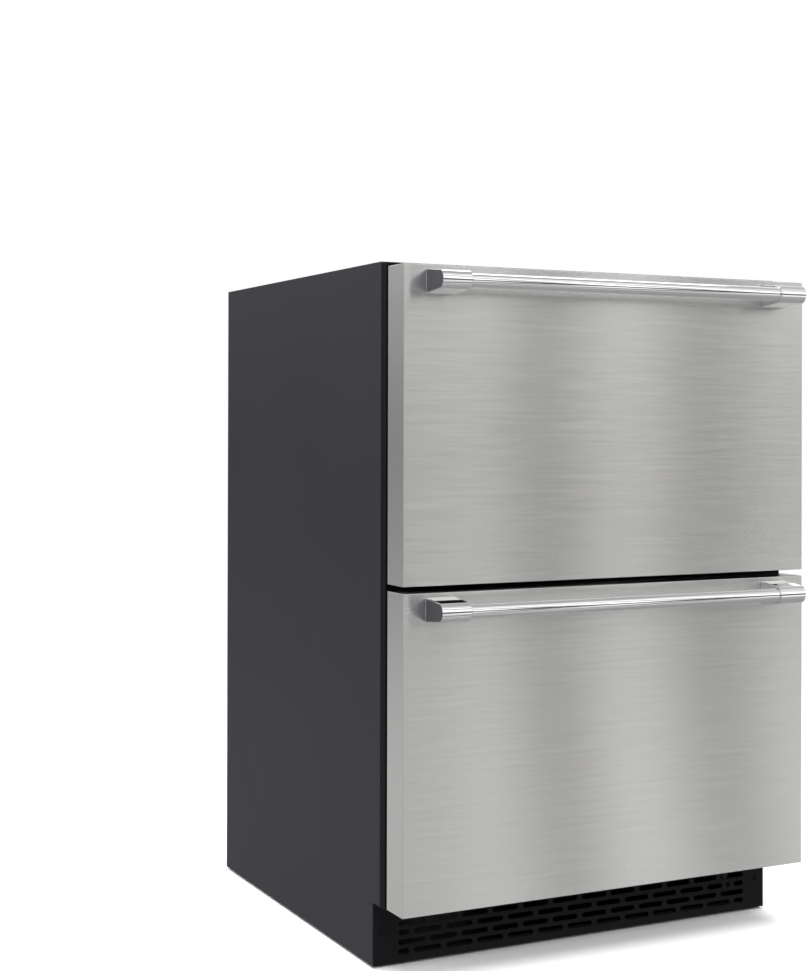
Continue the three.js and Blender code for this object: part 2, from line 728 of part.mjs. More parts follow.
function evaporatorCover() {
  const { half, front, thick, low, high } = COVER;
  const SLOTS = { count: 5, first: low + 110, pitch: 14, length: 240, height: 6 };
  const face = rectangle(-half, half, low, high);
  for (let index = 0; index < SLOTS.count; index += 1) {
    face.holes.push(slotPath(0, SLOTS.first + index * SLOTS.pitch, SLOTS.length, SLOTS.height));
  }
  const fanHole = new THREE.Path().absarc(0, EVAPORATOR_FAN.z, EVAPORATOR_FAN.hole, 0, 2 * Math.PI);
  face.holes.push(fanHole);
  const plate = prismY(face, [front, front + thick], 10);
  const rim = cut(
    box([-half, half], [front + thick / 2, LINER_REAR - GAP], [low, high]),
    box([-half + thick, half - thick], [front, LINER_REAR], [low + thick, high - thick]),
  );
  const { length, radius } = EVAPORATOR_MOTOR;
  const spider = fanSpider(EVAPORATOR_FAN.hole, front, length, radius, thick);
  const motorAndArms = spider.map((part) => part.translate(0, 0, EVAPORATOR_FAN.z));
  return piece("evaporator_cover", join(plate, rim, ...motorAndArms), LINER_PLASTIC);
}

function evaporatorFan() {
  const { hub, tip, depth, blades, z } = EVAPORATOR_FAN;
  const mesh = piece("evaporator_fan", fanRotor(hub, tip, depth, blades), BLACK_PLASTIC);
  mesh.position.set(0, EVAPORATOR_FAN_Y, z);
  return mesh;
}

function evaporatorCoil() {
  const COIL = { x: [-185, 185], y: [503, 543], z: [400, 640], fins: 26 };
  return piece("evaporator_coil", finBlock(COIL.x, COIL.y, COIL.z, COIL.fins), FINS);
}

// ---------- Slides ----------
// Heights and depths of the three nested channels. Depth runs from the liner wall towards the bin.
const SLIDE_SECTIONS = {
  outer: { back: 0, mouth: 11, half: 22.5, lip: 4 },
  middle: { back: 2.6, mouth: 9.4, half: 16, lip: 3.6 },
  inner: { back: 12.4, mouth: 5.6, half: 9, lip: 0 },
};
const SLIDE_SHEET = 1.4;

// A channel's outline as (depth, height) points, with lips that turn in at its mouth.
function channelSection({ back, mouth, half, lip }) {
  const wall = Math.sign(mouth - back) * SLIDE_SHEET;
  const low = [[back, -half], [mouth, -half]];
  if (lip > 0) {
    low.push([mouth, lip - half], [mouth - wall, lip - half], [mouth - wall, SLIDE_SHEET - half]);
  } else {
    low.push([mouth, SLIDE_SHEET - half]);
  }
  low.push([back + wall, SLIDE_SHEET - half]);
  const high = low.map(([depth, height]) => [depth, -height]).reverse();
  return [...low, ...high];
}

function slideMember(role, drawer, side) {
  const section = channelSection(SLIDE_SECTIONS[role]);
  const outline = section.map(([depth, height]) => [LINER_HALF - GAP - depth, height]);
  const geometry = prismY(shapeOf(outline), [SLIDE_FRONT, SLIDE_FRONT + SLIDE_LENGTH]);
  const name = `${drawer.name}_slide_${role}_${side > 0 ? "right" : "left"}`;
  const mesh = piece(name, geometry, ZINC);
  mesh.position.z = drawer.slideHeight;
  mesh.scale.x = side;
  return mesh;
}

// ---------- Drawers ----------
function frontSkin(drawer) {
  const z = [drawer.bottom, drawer.bottom + DRAWER_FRONT_HEIGHT];
  const axisZ = z[1] - HANDLE_DROP;
  const pan = box([-HALF, HALF], [0, FRONT_THICK], z);
  const hollow = box(
    [-HALF + SHEET, HALF - SHEET],
    [SHEET, FRONT_THICK + OVERCUT],
    [z[0] + SHEET, z[1] - SHEET],
  );
  const holes = [-1, 1].map((side) =>
    cylinderY(HANDLE_SCREW_RADIUS + GAP, [-OVERCUT, SHEET + OVERCUT], side * HANDLE_SCREW_X, axisZ, 12),
  );
  return piece(`${drawer.name}_front_skin`, cut(pan, hollow, ...holes), BRUSHED);
}

const FRONT_LINER_FRONT = 38;
const SCREW_HEAD_RADIUS = 4.5;
const SCREW_HEAD_HEIGHT = 3.5;

function frontInsulation(drawer) {
  const margin = SHEET + GAP;
  const z = [drawer.bottom + margin, drawer.bottom + DRAWER_FRONT_HEIGHT - margin];
  const axisZ = drawer.bottom + DRAWER_FRONT_HEIGHT - HANDLE_DROP;
  const block = box([-HALF + margin, HALF - margin], [margin, FRONT_LINER_FRONT - GAP], z);
  const POCKET_CLEARANCE = 1;
  const pocketY = [0, margin + SCREW_HEAD_HEIGHT + 2 * POCKET_CLEARANCE];
  const pockets = [-1, 1].map((side) =>
    cylinderY(SCREW_HEAD_RADIUS + POCKET_CLEARANCE, pocketY, side * HANDLE_SCREW_X, axisZ, 16),
  );
  return piece(`${drawer.name}_front_insulation`, cut(block, ...pockets), FOAM);
}

// Moulded back of the drawer front, with a raised middle that fills the window.
function frontLiner(drawer) {
  const margin = SHEET + GAP;
  const PLUG_CLEARANCE = 7;
  const PLUG_CORNER = 10;
  const z = [drawer.bottom + margin, drawer.bottom + DRAWER_FRONT_HEIGHT - margin];
  const plate = box([-HALF + margin, HALF - margin], [FRONT_LINER_FRONT, FRONT_THICK], z);
  const plugHalf = LINER_HALF - PLUG_CLEARANCE;
  const plugShape = roundedRect(
    -plugHalf,
    plugHalf,
    drawer.windowLow + PLUG_CLEARANCE,
    drawer.windowHigh - PLUG_CLEARANCE,
    PLUG_CORNER,
  );
  const plug = prismY(plugShape, [FRONT_THICK - 1, BIN_FRONT - GAP], 4);
  return piece(`${drawer.name}_front_liner`, join(plate, plug), LINER_PLASTIC);
}

function gasket(drawer) {
  const low = drawer.bottom + SEAL_INSET;
  const high = drawer.bottom + DRAWER_FRONT_HEIGHT - SEAL_INSET;
  const OUTER_CORNER = 6;
  const INNER_CORNER = 3;
  const half = HALF - SEAL_INSET;
  const innerHalf = half - SEAL_WIDTH;
  const ring = roundedRect(-half, half, low, high, OUTER_CORNER);
  ring.holes.push(
    roundedRect(-innerHalf, innerHalf, low + SEAL_WIDTH, high - SEAL_WIDTH, INNER_CORNER),
  );
  const geometry = prismY(ring, [FRONT_THICK + GAP, FRAME_FRONT - GAP], 3);
  return piece(`${drawer.name}_gasket`, geometry, RUBBER);
}

function handleBar(drawer) {
  const end = BRACKET_INNER + SOCKET_DEPTH - GAP;
  const geometry = cylinderX(BAR_RADIUS, [-end, end], BAR_AXIS, 0, 32);
  const mesh = piece(`${drawer.name}_handle_bar`, geometry, CHROME);
  mesh.position.z = drawer.bottom + DRAWER_FRONT_HEIGHT - HANDLE_DROP;
  return mesh;
}

// The bracket's side outline: flanks that narrow slightly, closed by a round nose.
function bracketOutline() {
  const BASE_HALF = 14.8;
  const NOSE_RADIUS = 12.4;
  const NOSE_CENTRE = -HANDLE_REACH + NOSE_RADIUS;
  const NOSE_ANGLE = 1.12; // half the nose's arc
  const shape = new THREE.Shape();
  shape.moveTo(-GAP, -BASE_HALF);
  shape.lineTo(-GAP, BASE_HALF);
  shape.absarc(NOSE_CENTRE, 0, NOSE_RADIUS, Math.PI - NOSE_ANGLE, Math.PI + NOSE_ANGLE);
  shape.closePath();
  return shape;
}

function handleBracket(drawer, side) {
  const body = prismX(bracketOutline(), [BRACKET_INNER, BRACKET_OUTER]);
  const socketX = [BRACKET_INNER - OVERCUT, BRACKET_INNER + SOCKET_DEPTH];
  const socket = cylinderX(BAR_RADIUS + GAP, socketX, BAR_AXIS, 0, 32);
  const holeY = [-HANDLE_SCREW_REACH - 2, OVERCUT];
  const screwHole = cylinderY(HANDLE_SCREW_RADIUS + GAP, holeY, HANDLE_SCREW_X, 0, 12);
  const name = `${drawer.name}_handle_bracket_${side > 0 ? "right" : "left"}`;
  const mesh = piece(name, cut(body, socket, screwHole), CHROME);
  mesh.position.z = drawer.bottom + DRAWER_FRONT_HEIGHT - HANDLE_DROP;
  mesh.scale.x = side;
  return mesh;
}

function handleScrew(drawer, side) {
  const HEAD_FRONT = SHEET + GAP;
  const shank = cylinderY(HANDLE_SCREW_RADIUS, [-HANDLE_SCREW_REACH, HEAD_FRONT + 1], 0, 0, 12);
  const head = cylinderY(SCREW_HEAD_RADIUS, [HEAD_FRONT, HEAD_FRONT + SCREW_HEAD_HEIGHT], 0, 0, 16);
  const name = `${drawer.name}_handle_screw_${side > 0 ? "right" : "left"}`;
  const mesh = piece(name, join(shank, head), ZINC);
  mesh.position.set(side * HANDLE_SCREW_X, 0, drawer.bottom + DRAWER_FRONT_HEIGHT - HANDLE_DROP);
  return mesh;
}

// The bin's side outline, drawn inwards by a wall thickness. It steps up over the liner's step.
function binOutline(drawer, wall, floor, top) {
  const outline = [
    [BIN_FRONT + wall, drawer.binBottom + floor],
    [drawer.stepDepth - wall, drawer.binBottom + floor],
  ];
  if (drawer.stepDepth < BIN_REAR) {
    outline.push([drawer.stepDepth - wall, drawer.stepHeight + floor]);
    outline.push([BIN_REAR - wall, drawer.stepHeight + floor]);
  }
  outline.push([BIN_REAR - wall, top], [BIN_FRONT + wall, top]);
  return shapeOf(outline);
}

function binPlan(wall) {
  return roundedRect(
    -BIN_HALF + wall,
    BIN_HALF - wall,
    BIN_FRONT + wall,
    BIN_REAR - wall,
    BIN_CORNER - wall,
  );
}

function bin(drawer) {
  const { binBottom, binTop } = drawer;
  const sides = prismX(binOutline(drawer, 0, 0, binTop), [-BIN_HALF, BIN_HALF]);
  const planZ = [binBottom - OVERCUT, binTop + 2 * OVERCUT];
  const outer = common(sides, prismZ(binPlan(0), planZ, 4));
  const innerOutline = binOutline(drawer, BIN_WALL, BIN_FLOOR, binTop + OVERCUT);
  const innerSides = prismX(innerOutline, [-BIN_HALF, BIN_HALF]);
  const inner = common(innerSides, prismZ(binPlan(BIN_WALL), planZ, 4));
  const rimPlan = roundedRect(
    -BIN_HALF - RIM_WIDTH,
    BIN_HALF + RIM_WIDTH,
    BIN_FRONT,
    BIN_REAR + RIM_WIDTH,
    BIN_CORNER + RIM_WIDTH / 2,
  );
  const rim = prismZ(rimPlan, [binTop - RIM_THICK, binTop], 4);
  return piece(`${drawer.name}_bin`, cut(join(outer, rim), inner), BRUSHED);
}

// ---------- Assembly ----------
fridge.add(sidePanel(-1), sidePanel(1), topPanel(), rearPanel(), compressorCover(), powerInlet());
fridge.add(machineBayBulkhead(), basePan(), kickPlate(), kickScrew(-1), kickScrew(1));
fridge.add(frontFrame(), liner(), cabinetInsulation(), mullion(), controlPanel());
fridge.add(compressor(), condensateTray(), condenserCoil(), condenserFanShroud(), condenserFan());
fridge.add(evaporatorCover(), evaporatorFan(), evaporatorCoil());
fridge.add(foot("foot_front_left", -FOOT_X, FOOT_FRONT_Y), foot("foot_front_right", FOOT_X, FOOT_FRONT_Y));
fridge.add(foot("foot_rear_left", -FOOT_X, FOOT_REAR_Y), foot("foot_rear_right", FOOT_X, FOOT_REAR_Y));
for (const drawer of [UPPER, LOWER]) {
  fridge.add(frontSkin(drawer), frontInsulation(drawer), frontLiner(drawer), gasket(drawer));
  fridge.add(handleBar(drawer), bin(drawer));
  for (const side of [-1, 1]) {
    fridge.add(handleBracket(drawer, side), handleScrew(drawer, side));
    for (const role of ["outer", "middle", "inner"]) {
      fridge.add(slideMember(role, drawer, side));
    }
  }
}

export default unit;
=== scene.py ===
"""Looks for the under-counter fridge: materials, small hardware, floor, lights and camera."""

import json
import math

import bmesh
import bpy
from mathutils import Matrix, Vector


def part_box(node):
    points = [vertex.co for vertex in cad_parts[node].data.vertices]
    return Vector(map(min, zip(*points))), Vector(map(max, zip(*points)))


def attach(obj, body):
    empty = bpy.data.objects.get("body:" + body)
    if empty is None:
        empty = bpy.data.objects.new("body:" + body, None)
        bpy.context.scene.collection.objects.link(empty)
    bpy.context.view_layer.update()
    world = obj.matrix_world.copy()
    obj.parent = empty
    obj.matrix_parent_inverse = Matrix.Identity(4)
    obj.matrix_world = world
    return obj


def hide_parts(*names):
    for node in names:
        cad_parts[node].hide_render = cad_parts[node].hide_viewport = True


MM = 0.001
SIDES = ("left", "right")
DRAWERS = ("upper", "lower")
SHARP_ANGLE = math.radians(35)
BEVEL_ANGLE = math.radians(40)
BEVEL_SEGMENTS = 2

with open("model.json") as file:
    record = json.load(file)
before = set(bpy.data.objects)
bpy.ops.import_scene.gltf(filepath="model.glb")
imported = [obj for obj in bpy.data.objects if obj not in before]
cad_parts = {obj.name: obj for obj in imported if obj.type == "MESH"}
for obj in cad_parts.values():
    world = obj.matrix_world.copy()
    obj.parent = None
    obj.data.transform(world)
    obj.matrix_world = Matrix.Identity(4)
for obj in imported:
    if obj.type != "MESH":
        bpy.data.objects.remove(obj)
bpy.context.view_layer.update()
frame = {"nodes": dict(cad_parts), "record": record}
NODES = frame["nodes"]


# ---------- Shader helpers ----------
class Shader:
    """A material being built: its node tree, its Principled node and short ways to add the usual nodes."""

    def __init__(self, name, **sockets):
        self.material = bpy.data.materials.new(name)
        self.material.use_nodes = True
        self.tree = self.material.node_tree
        self.bsdf = self.tree.nodes["Principled BSDF"]
        self.coords = self.tree.nodes.new("ShaderNodeTexCoord").outputs["Object"]
        for socket, value in sockets.items():
            self.bsdf.inputs[socket.replace("_", " ")].default_value = value

    def link(self, source, target):
        self.tree.links.new(source, target)

    def noise(self, scale, detail=3.0, roughness=0.55, stretch=(1, 1, 1)):
        """Noise over the object's own space, in cycles per metre, stretched by axis."""
        mapping = self.tree.nodes.new("ShaderNodeMapping")
        mapping.inputs["Scale"].default_value = stretch
        self.link(self.coords, mapping.inputs["Vector"])
        noise = self.tree.nodes.new("ShaderNodeTexNoise")
        noise.inputs["Scale"].default_value = scale
        noise.inputs["Detail"].default_value = detail
        noise.inputs["Roughness"].default_value = roughness
        self.link(mapping.outputs["Vector"], noise.inputs["Vector"])
        return noise.outputs["Fac"]

    def cells(self, scale):
        voronoi = self.tree.nodes.new("ShaderNodeTexVoronoi")
        voronoi.inputs["Scale"].default_value = scale
        self.link(self.coords, voronoi.inputs["Vector"])
        return voronoi.outputs

    def ramp(self, value, low, high, span=(0.3, 0.7)):
        """Maps a 0-1 value onto numbers or colours from low to high."""
        node = self.tree.nodes.new("ShaderNodeMapRange")
        node.inputs["From Min"].default_value = span[0]
        node.inputs["From Max"].default_value = span[1]
        node.inputs["To Min"].default_value = low
        node.inputs["To Max"].default_value = high
        self.link(value, node.inputs["Value"])
        return node.outputs["Result"]

    def mix_colour(self, factor, first, second):
        node = self.tree.nodes.new("ShaderNodeMix")
        node.data_type = "RGBA"
        node.inputs["A"].default_value = (*first, 1)
        node.inputs["B"].default_value = (*second, 1)
        self.link(factor, node.inputs["Factor"])
        return node.outputs["Result"]

    def add(self, first, second):
        node = self.tree.nodes.new("ShaderNodeMath")
        node.operation = "ADD"
        self.link(first, node.inputs[0])
        self.link(second, node.inputs[1])
        return node.outputs["Value"]

    def blend(self, factor, first, second):
        """Mixes two shaders."""
        node = self.tree.nodes.new("ShaderNodeMixShader")
        self.link(factor, node.inputs["Fac"])
        self.link(first, node.inputs[1])
        self.link(second, node.inputs[2])
        return node.outputs["Shader"]

    def set(self, socket, source):
        self.link(source, self.bsdf.inputs[socket])

    def bump(self, height, distance, strength=1.0):
        """Surface relief: height is 0-1 and distance is its depth in metres."""
        node = self.tree.nodes.new("ShaderNodeBump")
        node.inputs["Strength"].default_value = strength
        node.inputs["Distance"].default_value = distance
        self.link(height, node.inputs["Height"])
        self.link(node.outputs["Normal"], self.bsdf.inputs["Normal"])


def grey(value, tint=0.0):
    """A grey that leans to blue with a positive tint and to yellow with a negative one."""
    return (value * (1 - tint), value * (1 - tint / 2), value)


# ---------- Materials ----------
def brushed_steel(name, bright, dark, metallic, roughness, grain, anisotropic=1.0):
    """Stainless steel with a level grain, which smears reflections up and down but keeps them narrow.

    The smear turns round the upright axis, so a level sheet such as a bin's floor has to go without it.
    """
    shader = Shader(name, Metallic=metallic, Anisotropic=anisotropic, Anisotropic_Rotation=0.25)
    tangent = shader.tree.nodes.new("ShaderNodeTangent")
    tangent.direction_type = "RADIAL"
    tangent.axis = "Z"
    shader.link(tangent.outputs["Tangent"], shader.bsdf.inputs["Tangent"])
    fine_stretch, broad_stretch = (0.02, 1, 1), (0.045, 1, 1)
    fine = shader.noise(grain, 3, 0.6, fine_stretch)
    broad = shader.noise(grain / 2.2, 4, 0.65, broad_stretch)
    streaks = shader.add(shader.ramp(fine, 0, 0.4, (0.2, 0.8)), shader.ramp(broad, 0, 0.6))
    clouds = shader.noise(5, 4, 0.6)
    streak_gloss = 0.012
    streak_depth = 0.004 * MM
    shader.set("Base Color", shader.mix_colour(streaks, dark, bright))
    shader.set(
        "Roughness",
        shader.add(
            shader.ramp(streaks, roughness - streak_gloss, roughness + streak_gloss, (0, 1)),
            shader.ramp(clouds, -0.006, 0.01),
        ),
    )
    shader.bump(streaks, streak_depth, 0.2)
    return shader.material


def chrome():
    """Polished chrome with faint smudges and a slight ripple."""
    shader = Shader("polished_chrome", Metallic=1.0)
    smudges = shader.noise(28, 5, 0.65)
    shader.set("Base Color", shader.mix_colour(smudges, grey(0.82, 0.01), grey(0.88, 0.01)))
    shader.set("Roughness", shader.ramp(smudges, 0.035, 0.09))
    ripple_depth = 0.02 * MM
    shader.bump(shader.noise(60, 2), ripple_depth, 0.15)
    return shader.material


def powder_coat(name, colour, worn, roughness, specular, texture=1400):
    """Baked paint: fine orange peel, and slow changes of tone and gloss."""
    shader = Shader(name, IOR=1.45, Specular_IOR_Level=specular)
    peel = shader.noise(texture, 2, 0.5)
    clouds = shader.noise(4, 5, 0.6)
    shader.set("Base Color", shader.mix_colour(shader.ramp(clouds, 0, 1), colour, worn))
    shader.set(
        "Roughness",
        shader.add(shader.ramp(clouds, roughness - 0.03, roughness + 0.04), shader.ramp(peel, -0.02, 0.02)),
    )
    peel_depth = 0.06 * MM
    shader.bump(peel, peel_depth, 0.5)
    return shader.material


def galvanised(name, light, dark, roughness, crystals_per_metre=130):
    """Zinc-coated sheet: flat crystals of slightly different greys."""
    shader = Shader(name, Metallic=0.9)
    crystals = shader.cells(crystals_per_metre)
    tone = shader.tree.nodes.new("ShaderNodeSeparateColor")
    shader.link(crystals["Color"], tone.inputs["Color"])
    mottle = shader.add(
        shader.ramp(tone.outputs["Red"], 0, 0.6, (0, 1)),
        shader.ramp(shader.noise(12, 4), 0, 0.4),
    )
    shader.set("Base Color", shader.mix_colour(mottle, dark, light))
    shader.set("Roughness", shader.ramp(mottle, roughness + 0.08, roughness - 0.06, (0, 1)))
    coating_depth = 0.04 * MM
    shader.bump(shader.noise(500, 2), coating_depth, 0.3)
    return shader.material


def plastic(name, colour, shade, roughness, specular, texture, depth):
    """Moulded plastic: a fine spark-eroded grain and slow changes of gloss."""
    shader = Shader(name, IOR=1.48, Specular_IOR_Level=specular)
    grain = shader.noise(texture, 3, 0.6)
    clouds = shader.noise(9, 4, 0.6)
    shader.set("Base Color", shader.mix_colour(clouds, colour, shade))
    shader.set(
        "Roughness",
        shader.add(shader.ramp(clouds, roughness - 0.03, roughness + 0.05), shader.ramp(grain, -0.03, 0.03)),
    )
    shader.bump(grain, depth, 0.5)
    return shader.material


def rubber():
    """Soft black vinyl with faint patches of grey dust."""
    shader = Shader("gasket_vinyl", IOR=1.5, Specular_IOR_Level=0.15)
    grain = shader.noise(900, 3)
    dust = shader.noise(40, 5, 0.7)
    shader.set("Base Color", shader.mix_colour(shader.ramp(dust, 0, 1, (0.5, 0.8)), grey(0.006), grey(0.02)))
    shader.set("Roughness", shader.ramp(dust, 0.5, 0.7))
    grain_depth = 0.08 * MM
    shader.bump(grain, grain_depth, 0.5)
    return shader.material


def foam():
    """Rigid pale yellow foam with open pores."""
    shader = Shader("insulating_foam")
    pores = shader.cells(350)["Distance"]
    tint = shader.noise(18, 4)
    shader.set("Base Color", shader.mix_colour(tint, (0.72, 0.60, 0.33), (0.86, 0.78, 0.52)))
    shader.set("Roughness", shader.ramp(tint, 0.85, 0.97))
    pore_depth = 0.8 * MM
    shader.bump(pores, pore_depth, 0.6)
    return shader.material


def lamp_lens():
    """Frosted, partly see-through plastic."""
    shader = Shader("lamp_lens", Transmission_Weight=0.4, IOR=1.45)
    frost = shader.noise(300, 3)
    shader.set("Base Color", shader.mix_colour(frost, grey(0.85, 0.02), grey(0.95, 0.02)))
    shader.set("Roughness", shader.ramp(frost, 0.35, 0.5))
    frost_depth = 0.1 * MM
    shader.bump(frost, frost_depth, 0.4)
    return shader.material


STEEL_BRIGHT = (0.79, 0.785, 0.77)
STEEL_DARK = (0.71, 0.70, 0.685)
SHELL_GREY = (0.030, 0.028, 0.037)
SHELL_WORN = (0.0345, 0.0325, 0.042)
SCREEN = (0.01, 0.02, 0.03)
SCREEN_SHEEN = (0.015, 0.03, 0.045)
# The bracket end caps' two dark greys are a painted reflection: they stand in for dark surroundings mirrored
# in a polished chrome end.
PAINTED_REFLECTION_LIGHT = (0.20, 0.19, 0.22)
PAINTED_REFLECTION_DARK = (0.17, 0.16, 0.19)

MATERIALS = {
    "brushed_front": brushed_steel(
        "brushed_front_steel", STEEL_BRIGHT, STEEL_DARK, metallic=0.94, roughness=0.2, grain=480
    ),
    "bin_steel": brushed_steel(
        "bin_steel_sheet", grey(0.64), grey(0.54), metallic=1.0, roughness=0.32, grain=1500, anisotropic=0.0
    ),
    "handle_chrome": chrome(),
    "shell_paint": powder_coat("shell_powder_coat", SHELL_GREY, SHELL_WORN, roughness=0.5, specular=0.28),
    "kick_paint": powder_coat(
        "kick_powder_coat", grey(0.005, 0.35), grey(0.0075, 0.3), roughness=0.45, specular=0.2
    ),
    "compressor_paint": powder_coat(
        "compressor_enamel", grey(0.012), grey(0.022), roughness=0.3, specular=0.5, texture=500
    ),
    "zinc": galvanised("zinc_coated_sheet", grey(0.58, 0.02), grey(0.49, 0.03), roughness=0.42),
    "hardware": galvanised(
        "bright_zinc_plate", grey(0.64, 0.02), grey(0.59, 0.03), roughness=0.3, crystals_per_metre=900
    ),
    "coil_fins": galvanised(
        "aluminium_fins", grey(0.74, 0.01), grey(0.68, 0.01), roughness=0.38, crystals_per_metre=700
    ),
    "black_plastic": plastic(
        "black_moulding", grey(0.004), grey(0.007), roughness=0.55, specular=0.1, texture=1500,
        depth=0.06 * MM,
    ),
    "control_gloss": plastic(
        "black_gloss_panel", grey(0.006), grey(0.01), roughness=0.12, specular=0.5, texture=300,
        depth=0.004 * MM,
    ),
    "liner_plastic": plastic(
        "white_liner_plastic", grey(0.74, 0.01), grey(0.8, 0.008), roughness=0.28, specular=0.5, texture=700,
        depth=0.03 * MM,
    ),
    "gasket_rubber": rubber(),
    "foam": foam(),
}
LENS = lamp_lens()
MARK_INK = plastic(
    "printed_marks", grey(0.55), grey(0.62), roughness=0.4, specular=0.4, texture=900, depth=0.01 * MM
)
DISPLAY = plastic(
    "display_window", SCREEN, SCREEN_SHEEN, roughness=0.06, specular=0.5, texture=200, depth=0.002 * MM
)
PAINTED_REFLECTION_CAP_METAL = galvanised("bracket_cap_painted_reflection", PAINTED_REFLECTION_LIGHT, PAINTED_REFLECTION_DARK, roughness=0.4, crystals_per_metre=900)
SLOT_OF = {row["node"]: row["material_slot"] for row in frame["record"]["subparts"]}


# ---------- Mesh helpers ----------
X_PRISM = ((0, 1, 0), (0, 0, 1), (1, 0, 0))


def new_piece(name, mesh_builder, body, slot, material=None):
    """Runs mesh_builder on an empty bmesh, and makes it a smooth-shaded piece that rides on a body."""
    mesh = bpy.data.meshes.new(name)
    work = bmesh.new()
    mesh_builder(work)
    bmesh.ops.recalc_face_normals(work, faces=work.faces)
    work.to_mesh(mesh)
    work.free()
    mesh.materials.append(material or MATERIALS[slot])
    piece = bpy.data.objects.new(name, mesh)
    bpy.context.scene.collection.objects.link(piece)
    mesh.shade_smooth()
    mesh.set_sharp_from_angle(angle=SHARP_ANGLE)
    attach(piece, body)
    return piece


def even_normals(piece):
    """Large flat faces keep their own normals, and only the small faces between them look rounded."""
    modifier = piece.modifiers.new("even_normals", "WEIGHTED_NORMAL")
    modifier.keep_sharp = True
    modifier.weight = 100


def turned(work, profile, origin, axis, sides):
    """A body of revolution about axis through origin.

    The profile is a list of (distance along, radius), and starts and ends at radius 0.
    """
    direction = Vector(axis).normalized()
    turn = Vector((0, 0, 1)).rotation_difference(direction).to_matrix()
    centre = Vector(origin)
    rings = []
    for along, radius in profile:
        if radius == 0:
            rings.append([work.verts.new(centre + direction * along)])
            continue
        ring = []
        for step in range(sides):
            angle = 2 * math.pi * step / sides
            spoke = Vector((radius * math.cos(angle), radius * math.sin(angle), along))
            ring.append(work.verts.new(centre + turn @ spoke))
        rings.append(ring)
    for first, second in zip(rings, rings[1:]):
        for step in range(sides):
            after = (step + 1) % sides
            corners = [first[step % len(first)], first[after % len(first)]]
            corners += [second[after % len(second)], second[step % len(second)]]
            unique = list(dict.fromkeys(corners))
            if len(unique) > 2:
                work.faces.new(unique)


def prism(work, outline, low, high, axes):
    """Extrudes an outline of (a, b) points from low to high.

    The three axes are the directions of a, of b and of the extrusion.
    """
    first, second, third = (Vector(axis) for axis in axes)
    ends = []
    for offset in (low, high):
        ends.append([work.verts.new(first * a + second * b + third * offset) for a, b in outline])
    work.faces.new(ends[0])
    work.faces.new(list(reversed(ends[1])))
    count = len(outline)
    for index in range(count):
        after = (index + 1) % count
        work.faces.new([ends[0][after], ends[0][index], ends[1][index], ends[1][after]])


def rounded_box(work, low, high, radius, segments=3):
    """A box with every edge rounded."""
    made = bmesh.ops.create_cube(work, size=1)["verts"]
    size = Vector(high) - Vector(low)
    centre = (Vector(high) + Vector(low)) / 2
    for vertex in made:
        vertex.co = centre + Vector(a * b for a, b in zip(vertex.co, size))
    edges = list({edge for vertex in made for edge in vertex.link_edges})
    bmesh.ops.bevel(work, geom=edges, offset=radius, segments=segments, profile=0.5, affect="EDGES")


def add_bevel(node, width):
    modifier = node.modifiers.new("edge_round", "BEVEL")
    modifier.width = width
    modifier.segments = BEVEL_SEGMENTS
    modifier.limit_method = "ANGLE"
    modifier.angle_limit = BEVEL_ANGLE
    modifier.use_clamp_overlap = True


# ---------- Carried-over CAD nodes ----------
BEVELLED = {
    "shell_paint": 0.35 * MM,
    "kick_paint": 0.15 * MM,
    "black_plastic": 0.4 * MM,
    "liner_plastic": 0.5 * MM,
    "bin_steel": 0.4 * MM,
}


def finish_nodes():
    for name, node in NODES.items():
        slot = SLOT_OF[name]
        for material_slot in node.material_slots:
            material_slot.material = MATERIALS[slot]
        if slot in BEVELLED:
            add_bevel(node, BEVELLED[slot])


def top_panel_lip():
    """The top panel's turned-down front edge, which closes the seam above the front frame."""
    top_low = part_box("top_panel")[0]
    frame_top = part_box("front_frame")[1].z
    thick, overlap = 0.28 * MM, 1 * MM
    half_width = (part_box("rear_panel")[1].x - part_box("rear_panel")[0].x) / 2
    corner = Vector((-half_width, top_low.y, frame_top - overlap))
    opposite = Vector((half_width, top_low.y + thick, top_low.z))
    new_piece(
        "top_panel_lip",
        lambda work: rounded_box(work, corner, opposite, thick / 4, 1),
        "cabinet",
        "shell_paint",
    )


# ---------- Drawer fronts ----------
def front_skin(drawer):
    """A folded steel pan with rounded bends, open at the back, round its insulation."""
    low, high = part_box(f"{drawer}_front_skin")
    bend = 0.7 * MM
    sheet = 1.15 * MM

    def build(work):
        made = bmesh.ops.create_cube(work, size=1)["verts"]
        for vertex in made:
            vertex.co = Vector(h if c > 0 else l for c, l, h in zip(vertex.co, low, high))
        back = [f for f in work.faces if all(abs(v.co.y - high.y) < bend / 10 for v in f.verts)]
        bmesh.ops.delete(work, geom=back, context="FACES_ONLY")
        bends = [e for e in work.edges if not e.is_boundary]
        bmesh.ops.bevel(work, geom=bends, offset=bend, segments=4, profile=0.5, affect="EDGES")

    piece = new_piece(f"{drawer}_front_pan", build, f"{drawer}_drawer", "brushed_front")
    thicken = piece.modifiers.new("sheet", "SOLIDIFY")
    thicken.thickness = sheet
    thicken.offset = -1
    thicken.use_even_offset = True
    even_normals(piece)
    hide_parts(f"{drawer}_front_skin")


# ---------- Handles ----------
def handle_bar(drawer):
    low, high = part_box(f"{drawer}_handle_bar")
    radius = (high.z - low.z) / 2
    centre = (low + high) / 2
    length = high.x - low.x
    chamfer = 0.6 * MM
    profile = [
        (0, 0),
        (0, radius - chamfer),
        (chamfer, radius),
        (length - chamfer, radius),
        (length, radius - chamfer),
        (length, 0),
    ]
    origin = (low.x, centre.y, centre.z)
    piece = new_piece(
        f"{drawer}_bar",
        lambda work: turned(work, profile, origin, (1, 0, 0), 96),
        f"{drawer}_drawer",
        "handle_chrome",
    )
    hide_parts(f"{drawer}_handle_bar")


NOSE_SHARE = 0.838  # the nose's radius over half the bracket's height
NOSE_HALF_TURN = 1.12  # radians from straight ahead to the start of a flank
NOSE_STEPS = 28


